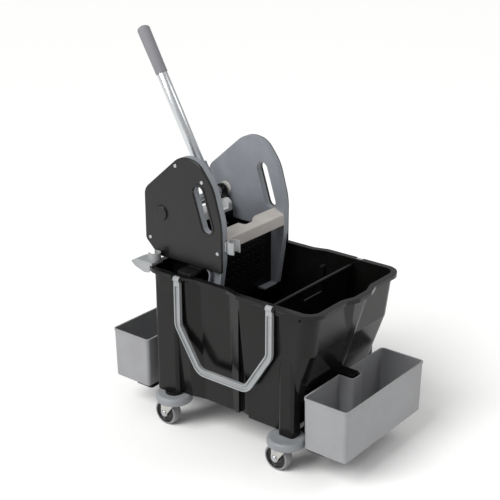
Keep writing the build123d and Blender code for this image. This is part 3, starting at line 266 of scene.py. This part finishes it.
def finishes() -> dict[str, Finish]:
    """Every finish by the record's material slot."""
    lean = lever_line()[1]
    along = atan2(lean.x, lean.z)
    return {
        # High-gloss injection-moulded polypropylene: deep black, soft long highlights, fine hair scratches.
        "bucket_black": Finish(
            "gloss_moulded_polypropylene", "#0c0c0b", "#121111", "#3a3a39",
            roughness=0.2, swing=0.04, specular=0.25,
            grain=Grain.PLAIN, grain_mm=3.0, depth_mm=0.02,
            cloud_mm=90, edge_mm=1.4, wear=0.25, scuff=0.18,
        ),
        # Polypropylene from an eroded mould: satin black with a fine leather-like grain.
        "cover_black": Finish(
            "satin_textured_polypropylene", "#111111", "#161616", "#4a4a4a",
            roughness=0.3, swing=0.05, specular=0.4,
            grain=Grain.LEATHER, grain_mm=1.2, depth_mm=0.03,
            cloud_mm=60, edge_mm=1.0, wear=0.3, scuff=0.2,
        ),
        # Glass-filled polypropylene: cool mid grey, faintly mottled by the fibres.
        "grey_plastic": Finish(
            "glass_filled_polypropylene", "#7b7e84", "#82868c", "#acafb1",
            roughness=0.42, swing=0.06,
            grain=Grain.LEATHER, grain_mm=1.0, depth_mm=0.035,
            cloud_mm=45, edge_mm=1.0, wear=0.3, scuff=0.15,
        ),
        # The same black with painted shade: darker for the parts that sit in shade. Hidden from rubbing
        # hands, it stays clean, with no pale edges.
        "shade_darkened_black": Finish(
            "unworn_shade_darkened_polypropylene", "#060606", "#090909", "#0c0c0c",
            roughness=0.38, swing=0.04, specular=0.22,
            grain=Grain.LEATHER, grain_mm=1.2, depth_mm=0.02,
            cloud_mm=60, edge_mm=0.6, wear=0.0, scuff=0.0,
        ),
        # Unfilled polypropylene in a paler, warmer grey than the frames, with its top painted paler as
        # painted light on the lit face.
        "bar_grey": Finish(
            "moulded_polypropylene_painted_lit_top", "#a8a39f", "#b0aba7", "#c6c2be",
            roughness=0.5, swing=0.06, dust_and_lit_top=0.35,
            grain=Grain.LEATHER, grain_mm=1.0, depth_mm=0.03,
            cloud_mm=40, edge_mm=1.0, wear=0.3, scuff=0.15,
        ),
        # Natural polypropylene: milky white with a soft sheen.
        "head_white": Finish(
            "natural_moulded_polypropylene", "#c4c5c6", "#cccdcd", "#dededc",
            roughness=0.4, swing=0.05, ior=1.49,
            grain=Grain.PLAIN, grain_mm=1.5, depth_mm=0.02,
            cloud_mm=40, edge_mm=0.8, wear=0.2, scuff=0.1,
        ),
        # Moulded polypropylene box: light neutral grey with a low sheen and rubbed rims.
        "box_grey": Finish(
            "satin_moulded_polypropylene", "#88888a", "#8f9092", "#b6b6b5",
            roughness=0.38, swing=0.05, dust_and_lit_top=0.25,
            grain=Grain.LEATHER, grain_mm=0.9, depth_mm=0.02,
            cloud_mm=80, edge_mm=1.0, wear=0.3, scuff=0.22,
        ),
        # Acetal: pale grey, a little waxy.
        "light_grey_plastic": Finish(
            "moulded_acetal", "#8b8e90", "#949697", "#b4b5b4",
            roughness=0.36, swing=0.05, ior=1.48,
            grain=Grain.PLAIN, grain_mm=1.5, depth_mm=0.02,
            cloud_mm=40, edge_mm=0.8, wear=0.3, scuff=0.2,
        ),
        # Thermoplastic elastomer grip: matte grey, slightly greasy where hands hold it.
        "grip_grey": Finish(
            "soft_elastomer_grip", "#77777b", "#7f7f83", "#98989a",
            roughness=0.62, swing=0.08, ior=1.52,
            grain=Grain.LEATHER, grain_mm=1.4, depth_mm=0.07,
            cloud_mm=30, edge_mm=0.8, wear=0.2, scuff=0.1,
        ),
        # Drawn and anodised aluminium tube: bright, with hair lines along its length.
        "aluminium_tube": Finish(
            "drawn_anodised_aluminium", "#d6d8da", "#cdd0d3", "#e2e3e4",
            roughness=0.3, swing=0.04, metal=True,
            grain=Grain.DRAWN, grain_mm=0.7, depth_mm=0.006, along=along,
            cloud_mm=80, edge_mm=0.3, wear=0.15, scuff=0.0,
        ),
        # Zinc-plated screw steel: bright grey with a soft blue cast.
        "steel": Finish(
            "bright_zinc_screw_steel", "#c2c4c6", "#b1b4b8", "#dcdcdc",
            roughness=0.28, swing=0.07, metal=True,
            grain=Grain.PLAIN, grain_mm=0.8, depth_mm=0.01,
            cloud_mm=12, edge_mm=0.4, wear=0.4, scuff=0.3,
        ),
        # Oil-tempered spring wire: dark, smooth and slightly brown.
        "spring_steel": Finish(
            "oil_tempered_spring_wire", "#6f6c68", "#605d5a", "#9a9895",
            roughness=0.35, swing=0.06, metal=True,
            grain=Grain.PLAIN, grain_mm=0.8, depth_mm=0.01,
            cloud_mm=15, edge_mm=0.3, wear=0.3, scuff=0.2,
        ),
        # Polyamide bush: off-white and waxy.
        "bush_plastic": Finish(
            "turned_polyamide", "#b9b9b5", "#c3c2bc", "#d8d7d2",
            roughness=0.4, swing=0.06, ior=1.53,
            grain=Grain.PLAIN, grain_mm=0.9, depth_mm=0.02,
            cloud_mm=20, edge_mm=0.5, wear=0.25, scuff=0.15,
        ),
        # Thermoplastic rubber bumper: mid grey, matte, rubbed pale where it meets walls.
        "bumper_grey": Finish(
            "thermoplastic_rubber_bumper", "#7b7e82", "#84878a", "#a2a3a3",
            roughness=0.52, swing=0.07, ior=1.52, dust_and_lit_top=0.3,
            grain=Grain.LEATHER, grain_mm=1.2, depth_mm=0.04,
            cloud_mm=35, edge_mm=1.4, wear=0.35, scuff=0.3,
        ),
        # Pressed and zinc-plated sheet steel: satin bright, with a faint spangle.
        "zinc_plate": Finish(
            "zinc_plated_sheet_steel", "#cdcbc6", "#bdbcba", "#e2e1de",
            roughness=0.34, swing=0.07, metal=True,
            grain=Grain.SPANGLE, grain_mm=3.5, depth_mm=0.012,
            cloud_mm=25, edge_mm=0.5, wear=0.4, scuff=0.3,
        ),
        # Moulded polypropylene wheel centre: plain black with road dust in its grain.
        "hub_black": Finish(
            "moulded_polypropylene_wheel", "#19191a", "#222223", "#5e5e5d",
            roughness=0.38, swing=0.07,
            grain=Grain.LEATHER, grain_mm=1.0, depth_mm=0.03,
            cloud_mm=20, edge_mm=0.7, wear=0.4, scuff=0.2,
        ),
        # Non-marking rubber tread: grey and dull, polished in patches by the floor.
        "tyre_grey": Finish(
            "non_marking_rubber", "#858385", "#797779", "#a09e9e",
            roughness=0.6, swing=0.1, ior=1.52,
            grain=Grain.LEATHER, grain_mm=1.1, depth_mm=0.06,
            cloud_mm=18, edge_mm=1.0, wear=0.3, scuff=0.25,
        ),
    }


# ------------------------------------------------------------------ mesh tools


def turned(profile: Profile, segments: int, closed: bool = True) -> bmesh.types.BMesh:
    """Spin a profile a full turn round the Z axis.

    Args:
        profile: radius and height of each point.
        segments: steps round the turn.
        closed: join the last point to the first.

    Returns:
        The turned shape, with its doubles merged and its faces outwards.
    """
    made = bmesh.new()
    points = [made.verts.new((radius, 0.0, height)) for radius, height in profile]
    ends = points[1:] + points[:1] if closed else points[1:]
    lines = [made.edges.new(pair) for pair in zip(points, ends)]
    bmesh.ops.spin(made, geom=points + lines, cent=(0, 0, 0), axis=(0, 0, 1), dvec=(0, 0, 0),
                   angle=2 * pi, steps=segments, use_merge=True)
    bmesh.ops.remove_doubles(made, verts=made.verts, dist=MERGE)
    bmesh.ops.recalc_face_normals(made, faces=made.faces)
    return made


def lay(made: bmesh.types.BMesh, centre: Vector, axis: Vector) -> bmesh.types.BMesh:
    """Turn a shape's Z to an axis and move its origin to a centre.

    Args:
        made: shape.
        centre: new place of its origin.
        axis: new direction of its Z.

    Returns:
        The same shape.
    """
    turn = Vector((0, 0, 1)).rotation_difference(axis).to_matrix().to_4x4()
    bmesh.ops.transform(made, matrix=Matrix.Translation(centre) @ turn, verts=made.verts)
    return made


def join(target: bmesh.types.BMesh, *others: bmesh.types.BMesh) -> bmesh.types.BMesh:
    """Add other shapes to a shape and free them.

    Args:
        target: shape that grows.
        *others: shapes that are added to it.

    Returns:
        The first shape.
    """
    for other in others:
        scratch = bpy.data.meshes.new("scratch")
        other.to_mesh(scratch)
        other.free()
        target.from_mesh(scratch)
        bpy.data.meshes.remove(scratch)
    return target


def soften(made: bmesh.types.BMesh, width: float, segments: int, sharper: float = 30.0) -> bmesh.types.BMesh:
    """Round the sharp edges of a shape.

    Args:
        made: shape.
        width: width of the rounding.
        segments: faces across it.
        sharper: least angle of an edge that is rounded, in degrees.

    Returns:
        The same shape.
    """
    limit = radians(sharper)
    sharp = [e for e in made.edges if e.is_manifold and e.calc_face_angle() > limit]
    bmesh.ops.bevel(made, geom=sharp, offset=width, offset_type="OFFSET", affect="EDGES", segments=segments,
                    profile=0.5, material=-1, clamp_overlap=True)
    return made


def arc(radius: float, centre: tuple[float, float], start: float, end: float, steps: int) -> Profile:
    """Points of an arc in a profile, with its angles in degrees from the outward way."""
    angles = [radians(start + (end - start) * i / steps) for i in range(steps + 1)]
    return [(centre[0] + radius * cos(a), centre[1] + radius * sin(a)) for a in angles]


def islands(node: str) -> list[tuple[Vector, Vector]]:
    """Boxes of the separate solids in a CAD node.

    Args:
        node: name of the node.

    Returns:
        Lowest and highest corner of each, in order of X.
    """
    copy = bmesh.new()
    copy.from_mesh(frame["nodes"][node].data)
    bmesh.ops.remove_doubles(copy, verts=copy.verts, dist=MERGE)
    left, found = set(copy.verts), []
    while left:
        patch, edge = set(), [left.pop()]
        while edge:
            vert = edge.pop()
            patch.add(vert)
            for link in vert.link_edges:
                other = link.other_vert(vert)
                if other in left:
                    left.remove(other)
                    edge.append(other)
        low = Vector(min(v.co[i] for v in patch) for i in range(3))
        high = Vector(max(v.co[i] for v in patch) for i in range(3))
        found.append((low, high))
    copy.free()
    return sorted(found, key=lambda pair: pair[0].x)


@dataclass
class Workshop:
    """Makes finished pieces and dresses CAD nodes."""

    slots: dict[str, str] = field(default_factory=lambda: {
        row["node"]: row["material_slot"] for row in frame["record"]["subparts"]})
    finish_of: dict[str, Finish] = field(default_factory=finishes)
    made: dict[str, bpy.types.Material] = field(default_factory=dict)

    def material(self, slot: str) -> bpy.types.Material:
        """Material of a slot, built the first time."""
        if slot not in self.made:
            self.made[slot] = self.finish_of[slot].material()
        return self.made[slot]

    def dress(self, node: str, finish: str = "") -> None:
        """Give a CAD node that stays its material.

        Args:
            node: name of the node.
            finish: finish that it gets, where it isn't the one of its own slot.
        """
        piece = frame["nodes"][node]
        piece.data.materials.clear()
        piece.data.materials.append(self.material(finish or self.slots[node]))
        LOG.info("%s keeps its shape, in %s", node, self.slots[node])

    def piece(self, made: bmesh.types.BMesh, name: str, body: str, slot: str,
              stands_for: tuple[str, ...], smooth: float = 35.0) -> None:
        """Turn a shape into a finished piece.

        Args:
            made: shape in the frame's metres, which is freed.
            name: name of the piece.
            body: body that it rides on.
            slot: material slot.
            stands_for: CAD nodes that it replaces.
            smooth: edges flatter than this many degrees are shaded smooth.
        """
        bmesh.ops.triangulate(made, faces=[f for f in made.faces if len(f.verts) > 4])
        mesh = bpy.data.meshes.new(name)
        made.to_mesh(mesh)
        made.free()
        mesh.shade_smooth()
        mesh.set_sharp_from_angle(angle=radians(smooth))
        mesh.materials.append(self.material(slot))
        piece = bpy.data.objects.new(name, mesh)
        bpy.context.scene.collection.objects.link(piece)
        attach(piece, body)
        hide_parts(*stands_for)
        LOG.info("%s made on %s, %d faces", name, body, len(mesh.polygons))


# ------------------------------------------------------------------ casters


@dataclass
class Caster:
    """Swivel caster: tyre, wheel centre and axle bolt in the kept fork and bumper."""

    shop: Workshop
    corner: str
    segments: int = 72
    small_segments: int = 40
    shoulder: float = 4.0 * MM
    shoulder_steps: int = 7
    seam: float = 0.25 * MM
    bead: float = 0.5 * MM
    bore: float = 4.1 * MM
    boss: float = 8.5 * MM
    boss_ease: float = 0.8 * MM
    boss_foot: float = 2.0 * MM
    dish: float = 4.5 * MM
    ring: float = 1.2 * MM
    ring_share: float = 0.68
    lip: float = 4.0 * MM
    play: float = 0.1 * MM
    head: float = 7.0 * MM
    washer: float = 6.8 * MM
    washer_height: float = 0.8 * MM
    nut: float = 6.6 * MM
    nut_ease: float = 0.5 * MM

    def middle(self, part: str) -> tuple[Vector, float, float]:
        """Centre, radius and half width of a turned part of the wheel."""
        low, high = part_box(f"{self.corner}_{part}")
        return (low + high) / 2, (high.z - low.z) / 2, (high.y - low.y) / 2

    def tyre(self) -> None:
        """Rubber tread with round shoulders, side beads and a mould seam."""
        centre, radius, half = self.middle("tyre")
        inner = self.middle("hub")[1]
        r, s = self.shoulder, self.seam
        low_side = [(inner, -half + 1.2 * s), (inner + self.bead, -half)]
        low_side += arc(r, (radius - r - s, -half + r), -90, 0, self.shoulder_steps)
        crown = [(radius - s, -2 * s), (radius, 0.0), (radius - s, 2 * s)]
        high_side = [(x, -y) for x, y in reversed(low_side)]
        made = turned(low_side + crown + high_side, self.segments)
        self.shop.piece(lay(made, centre, Vector((0, 1, 0))), f"{self.corner}_tread", f"{self.corner}_wheel",
                        "tyre_grey", (f"{self.corner}_tyre",), 50)

    def wheel_centre(self) -> None:
        """Dished wheel centre with a raised ring and a bearing boss on each side."""
        centre, radius, half = self.middle("hub")
        web, lip = half - self.dish, half - 0.4 * MM
        top, ease = half - 0.2 * MM, self.boss_ease
        rings = [(self.bore, top), (self.boss - ease, top), (self.boss, top - ease)]
        rings += [(self.boss + ease, web + 0.5 * MM), (self.boss + self.boss_foot, web)]
        middle = self.ring_share * radius
        rings += [(middle - self.ring, web), (middle - 0.5 * self.ring, web + self.ring)]
        rings += [(middle + 0.5 * self.ring, web + self.ring), (middle + self.ring, web)]
        rings += [(radius - self.lip, web), (radius - self.lip + MM, web + MM), (radius - 2.2 * MM, lip)]
        rings += [(radius - 0.3 * MM, lip), (radius, lip - 0.3 * MM)]
        profile = rings + [(x, -y) for x, y in reversed(rings)]
        made = turned(profile, self.segments)
        self.shop.piece(lay(made, centre, Vector((0, 1, 0))), f"{self.corner}_wheel_centre",
                        f"{self.corner}_wheel", "hub_black", (f"{self.corner}_hub",), 30)

    def axle(self) -> None:
        """Axle bolt with a domed head, and a chamfered nut over a washer."""
        low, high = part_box(f"{self.corner}_axle")
        centre = self.middle("hub")[0]
        fork_low, fork_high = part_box(f"{self.corner}_fork")
        shank, head_radius = self.bore - self.play, self.head
        head, tip = low.y - centre.y, high.y - centre.y
        outside = (fork_high.y - fork_low.y) / 2
        dome = [(0.0, head), (3 * MM, head + 0.25 * MM), (5.4 * MM, head + 1.2 * MM)]
        dome += [(head_radius - 0.2 * MM, head + 2.8 * MM), (head_radius, -outside), (shank, -outside)]
        dome += [(shank, tip), (0.0, tip)]
        bolt = lay(turned(dome, self.small_segments, closed=False), centre, Vector((0, 1, 0)))
        edge, thick = self.washer - 0.2 * MM, self.washer_height
        washer = turned([(shank, 0.0), (edge, 0.0), (self.washer, 0.3 * MM), (edge, thick), (shank, thick)],
                        self.small_segments)
        lay(washer, centre + Vector((0, outside, 0)), Vector((0, 1, 0)))
        nut = bmesh.new()
        depth = tip - outside - thick
        bmesh.ops.create_cone(nut, cap_ends=True, cap_tris=False, segments=6, radius1=self.nut,
                              radius2=self.nut, depth=depth)
        soften(nut, self.nut_ease, 2)
        lay(nut, centre + Vector((0, tip - depth / 2 - 0.05 * MM, 0)), Vector((0, 1, 0)))
        self.shop.piece(join(bolt, washer, nut), f"{self.corner}_axle_bolt", f"{self.corner}_caster", "steel",
                        (f"{self.corner}_axle",))

    def build(self) -> None:
        """Make the caster's new pieces and dress the kept ones."""
        self.tyre()
        self.wheel_centre()
        self.axle()
        for part in ("bumper", "king_pin", "fork"):
            self.shop.dress(f"{self.corner}_{part}")


# ------------------------------------------------------------------ lever


def span_along(node: str, foot: Vector, way: Vector) -> tuple[float, float]:
    """Distances at which a CAD node starts and ends along a line.

    Args:
        node: name of the node.
        foot: point that distances are measured from.
        way: direction of the line.

    Returns:
        Lowest and highest distance.
    """
    along = [(v.co - foot).dot(way) for v in frame["nodes"][node].data.vertices]
    return min(along), max(along)


@dataclass
class Lever:
    """Lever: drawn tube with a soft grip, in its kept socket on the shaft."""

    shop: Workshop
    segments: int = 96
    tube_radius: float = 12.5 * MM
    tube_wall: float = 1.5 * MM
    mouth_radius: float = 13.6 * MM
    end_radius: float = 15.0 * MM
    end_round: float = 8.0 * MM
    crown: float = 1.6 * MM
    tube_ease: float = 0.3 * MM
    mouth_ease: float = 0.5 * MM
    swell: float = 0.75
    swell_steps: tuple[float, ...] = (0.12, 0.25, 0.4, 0.55, 0.7, 0.82)

    def tube(self, foot: Vector, way: Vector) -> None:
        """Aluminium tube with eased ends.

        Args:
            foot: the lever line's point on the shaft's axis.
            way: direction up the lever.
        """
        start, end = span_along("lever_tube", foot, way)
        out, inside, ease = self.tube_radius, self.tube_radius - self.tube_wall, self.tube_ease
        profile = [(inside, start), (out - ease, start), (out, start + ease), (out, end - ease),
                   (out - ease, end), (inside, end)]
        made = lay(turned(profile, self.segments), foot, way)
        self.shop.piece(made, "lever_pole", "lever", "aluminium_tube", ("lever_tube",), 50)

    def grip(self, foot: Vector, way: Vector) -> None:
        """Soft grip that widens towards its nearly flat, round-edged end.

        Args:
            foot: the lever line's point on the shaft's axis.
            way: direction up the lever.
        """
        start, end = span_along("lever_grip", foot, way)
        tube_end = span_along("lever_tube", foot, way)[1]
        bore, r = self.tube_radius + 0.05 * MM, self.end_round
        wide = self.end_radius
        mouth, ease, length = self.mouth_radius, self.mouth_ease, end - start
        skin = [(bore, start + ease), (bore + 0.3 * MM, start), (mouth - ease, start),
                (mouth, start + 0.6 * MM), (mouth + 0.35 * MM, start + 3 * MM)]
        skin += [(mouth + (wide - mouth) * share ** self.swell, start + length * share)
                 for share in self.swell_steps]
        corner = arc(r, (wide - r, end - r - self.crown), 0, 78, 8)
        crown = [(x, end - self.crown * (x / wide) ** 2) for x in (0.35 * wide, 0.18 * wide, 0.0)]
        inner = [(0.0, tube_end + 0.1 * MM), (bore, tube_end + 0.1 * MM)]
        made = turned(skin + corner + crown + inner, self.segments)
        self.shop.piece(lay(made, foot, way), "hand_grip", "lever", "grip_grey", ("lever_grip",), 50)

    def build(self) -> None:
        """Make the tube and grip, and dress the kept pieces."""
        foot, way = lever_line()
        self.tube(foot, way)
        self.grip(foot, way)
        self.shop.dress("press_head", "head_white")
        # The press plate gets the black darkened as painted shade.
        self.shop.dress("press_plate", "shade_darkened_black")
        for node in ("lever_shaft", "lever_socket", "socket_bolt"):
            self.shop.dress(node)


# ------------------------------------------------------------------ wringer


@dataclass
class Wringer:
    """Side frames and covers with detailed screws, crossbar, jaw, spring and front clip."""

    shop: Workshop
    head_radius: float = 4.2 * MM
    head_height: float = 1.6 * MM
    slot_half: float = 0.55 * MM
    slot_reach: float = 2.3 * MM
    slot_height: float = 0.12 * MM
    segments: int = 32

    def screw(self, centre: Vector, out: float) -> bmesh.types.BMesh:
        """Pan-head screw with the two bars of its cross.

        Args:
            centre: middle of the head's underside.
            out: +1 or -1, the way along Y that the head faces.

        Returns:
            The head's shape.
        """
        r, h = self.head_radius, self.head_height
        pan = [(0.0, 0.0), (r, 0.0), (r, 0.35 * h), (0.9 * r, 0.7 * h), (0.6 * r, 0.94 * h), (0.0, h)]
        made = turned(pan, self.segments, closed=False)
        cut = bmesh.new()
        for wide, deep in ((self.slot_half, self.slot_reach), (self.slot_reach, self.slot_half)):
            bar = bmesh.new()
            bmesh.ops.create_cube(bar, size=1.0)
            bmesh.ops.scale(bar, vec=(2 * wide, 2 * deep, self.slot_height), verts=bar.verts)
            bmesh.ops.translate(bar, vec=(0, 0, h + 0.01 * MM), verts=bar.verts)
            join(cut, bar)
        join(made, cut)
        return lay(made, centre, Vector((0, out, 0)))

    def screws(self, side: str) -> None:
        """All screws of one cover as one piece.

        Args:
            side: near or far.
        """
        out = -1.0 if side == "near" else 1.0
        node = f"{side}_cover_screws"
        heads = bmesh.new()
        for low, high in islands(node):
            y = (low.y if out < 0 else high.y) - out * self.head_height
            centre = (low + high) / 2
            join(heads, self.screw(Vector((centre.x, y, centre.z)), out))
        self.shop.piece(heads, f"{side}_screw_heads", "wringer", "steel", (node,))

    def build(self) -> None:
        """Make the screws and dress every kept piece of the wringer."""
        for side in SIDES:
            self.screws(side)
            for part in ("side_frame", "side_cover", "shaft_bush", "rim_hook"):
                self.shop.dress(f"{side}_{part}")
        self.shop.dress("crossbar", "bar_grey")
        # The fixed jaw gets the black darkened as painted shade.
        self.shop.dress("fixed_jaw", "shade_darkened_black")
        for node in ("rear_tie_rod", "stop_pins", "return_spring", "front_pole_clip"):
            self.shop.dress(node)


# ------------------------------------------------------------------ bucket


@dataclass
class Bucket:
    """Bucket, divider, bails, boxes and their supports."""

    shop: Workshop

    def build(self) -> None:
        """Dress the kept pieces."""
        # The divider gets the black darkened as painted shade, for the shaded inside of the bucket.
        self.shop.dress("divider", "shade_darkened_black")
        for node in ("bucket_body", "front_box", "rear_box", "front_box_support", "rear_box_support",
                     "near_bail", "far_bail", "near_bail_pins", "far_bail_pins", "rear_bracket",
                     "rear_pole_clip"):
            self.shop.dress(node)


# ------------------------------------------------------------------ studio


@dataclass
class Studio:
    """Pale floor, soft lights and the camera."""

    lens_mm: float = 83.27
    sensor_mm: float = 36.0
    stand: tuple[float, float, float] = (1.4303, -1.8592, 1.3299)
    look: tuple[float, float, float] = (-0.5781, 0.7310, -0.3628)
    floor_half: float = 30.0
    aim: tuple[float, float, float] = (0.0, 0.0, 0.3)
    sun_way: tuple[float, float, float] = (-0.12, -0.68, 0.72)
    sun_strength: float = 2.3
    sun_spread: float = 35.0
    sky_strength: float = 0.5

    def middle(self) -> float:
        """X midway between the two storage boxes, which the camera's stand is measured from."""
        return (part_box("front_box")[0].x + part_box("rear_box")[1].x) / 2

    def camera(self) -> None:
        """Long-lens camera that looks down on the near front corner."""
        data = bpy.data.cameras.new("camera")
        data.lens, data.sensor_width = self.lens_mm, self.sensor_mm
        data.clip_start, data.clip_end = 0.05, 100.0
        eye = bpy.data.objects.new("camera", data)
        bpy.context.scene.collection.objects.link(eye)
        eye.location = (self.middle() + self.stand[0], self.stand[1], self.stand[2])
        eye.rotation_mode = "QUATERNION"
        eye.rotation_quaternion = Vector(self.look).to_track_quat("-Z", "Y")
        bpy.context.scene.camera = eye

    def floor(self) -> None:
        """Matt white floor."""
        made = bmesh.new()
        bmesh.ops.create_grid(made, x_segments=1, y_segments=1, size=self.floor_half)
        mesh = bpy.data.meshes.new("floor")
        made.to_mesh(mesh)
        made.free()
        paper = bpy.data.materials.new("matt_white_paper")
        paper.use_nodes = True
        shader = paper.node_tree.nodes["Principled BSDF"]
        shader.inputs["Base Color"].default_value = linear("#fcfcfb")
        shader.inputs["Roughness"].default_value = 0.9
        mesh.materials.append(paper)
        floor = bpy.data.objects.new("floor", mesh)
        bpy.context.scene.collection.objects.link(floor)

    def light(self, name: str, place: tuple[float, float, float], size: float, watts: float) -> None:
        """Square soft box that faces the wringer's foot.

        Args:
            name: name of the light.
            place: where it hangs.
            size: side of the square.
            watts: power.
        """
        data = bpy.data.lights.new(name, "AREA")
        data.size, data.energy = size, watts
        lamp = bpy.data.objects.new(name, data)
        bpy.context.scene.collection.objects.link(lamp)
        lamp.location = place
        lamp.rotation_mode = "QUATERNION"
        lamp.rotation_quaternion = (Vector(self.aim) - Vector(place)).to_track_quat("-Z", "Y")

    def sun(self) -> None:
        """Far soft light that covers the whole floor evenly."""
        data = bpy.data.lights.new("sun", "SUN")
        data.energy, data.angle = self.sun_strength, radians(self.sun_spread)
        lamp = bpy.data.objects.new("sun", data)
        bpy.context.scene.collection.objects.link(lamp)
        lamp.rotation_mode = "QUATERNION"
        lamp.rotation_quaternion = (-Vector(self.sun_way)).to_track_quat("-Z", "Y")

    def build(self) -> None:
        """Set up the camera, floor, lights and sky."""
        self.camera()
        self.floor()
        self.sun()
        self.light("strip", (-0.9, -2.2, 1.5), size=0.7, watts=10.0)
        self.light("rim", (1.6, 0.9, 2.2), size=0.9, watts=9.0)
        sky = bpy.data.worlds.new("soft_white")
        sky.use_nodes = True
        sky.node_tree.nodes["Background"].inputs["Color"].default_value = linear("#ffffff")
        sky.node_tree.nodes["Background"].inputs["Strength"].default_value = self.sky_strength
        bpy.context.scene.world = sky
        bpy.context.scene.view_settings.view_transform = "Standard"


def main() -> None:
    """Build every sub-assembly in order."""
    logging.basicConfig(level=logging.INFO, format="%(name)s: %(message)s")
    Studio().build()
    shop = Workshop()
    Bucket(shop).build()
    for corner in CORNERS:
        Caster(shop, corner).build()
    Wringer(shop).build()
    Lever(shop).build()


if __name__ == "__main__":
    main()
